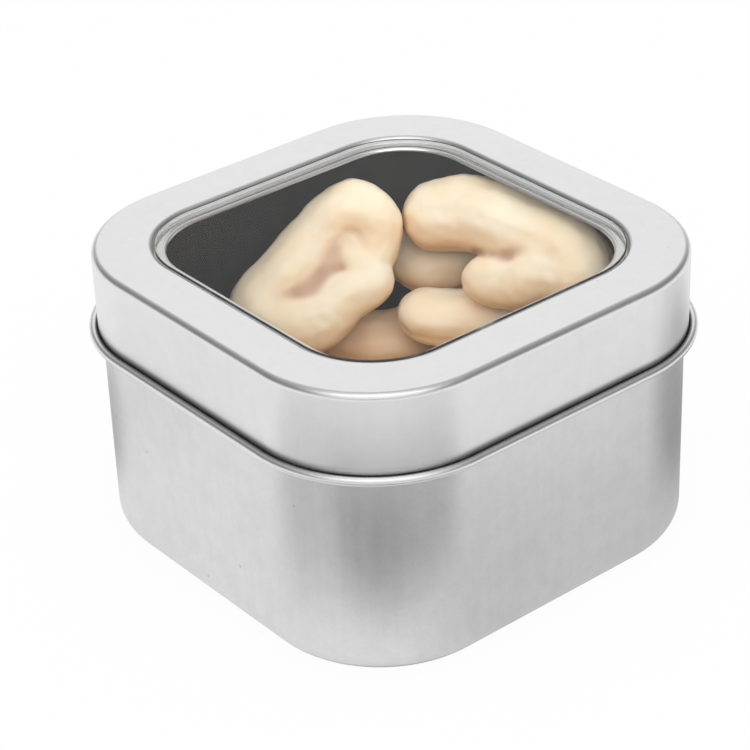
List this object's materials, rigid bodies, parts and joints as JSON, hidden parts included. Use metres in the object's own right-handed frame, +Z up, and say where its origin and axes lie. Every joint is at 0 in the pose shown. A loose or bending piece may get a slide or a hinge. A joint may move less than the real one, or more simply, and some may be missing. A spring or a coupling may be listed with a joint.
{
  "type": "window lid tin",
  "caption": "Square tinplate tin with round corners and a slip-over lid that frames a clear flat window; it stands on a pressed base and opens when the lid is lifted off.",
  "frame": {"origin": "under the middle of the base, on the surface that the tin stands on", "axes": "+Z up, the way the lid lifts off; X and Y square to the flat sides"},
  "size_m": [0.0684, 0.0684, 0.0421],
  "materials": {
    "tinplate": "satin tinplate",
    "lid_tinplate": "satin tinplate, brighter along the pressed edges",
    "clear_pane": "clear and polished",
    "clear_adhesive": "clear film"
  },
  "bodies": {
    "tin": {"tin_body": "tinplate"},
    "lid": {"lid_shell": "lid_tinplate", "window_pane": "clear_pane", "window_adhesive": "clear_adhesive"}
  },
  "joints": [
    {"name": "lid_lift", "type": "slide", "parent": "tin", "child": "lid", "axis": [0, 0, 1], "range_m": [0, 0.06]}
  ]
}
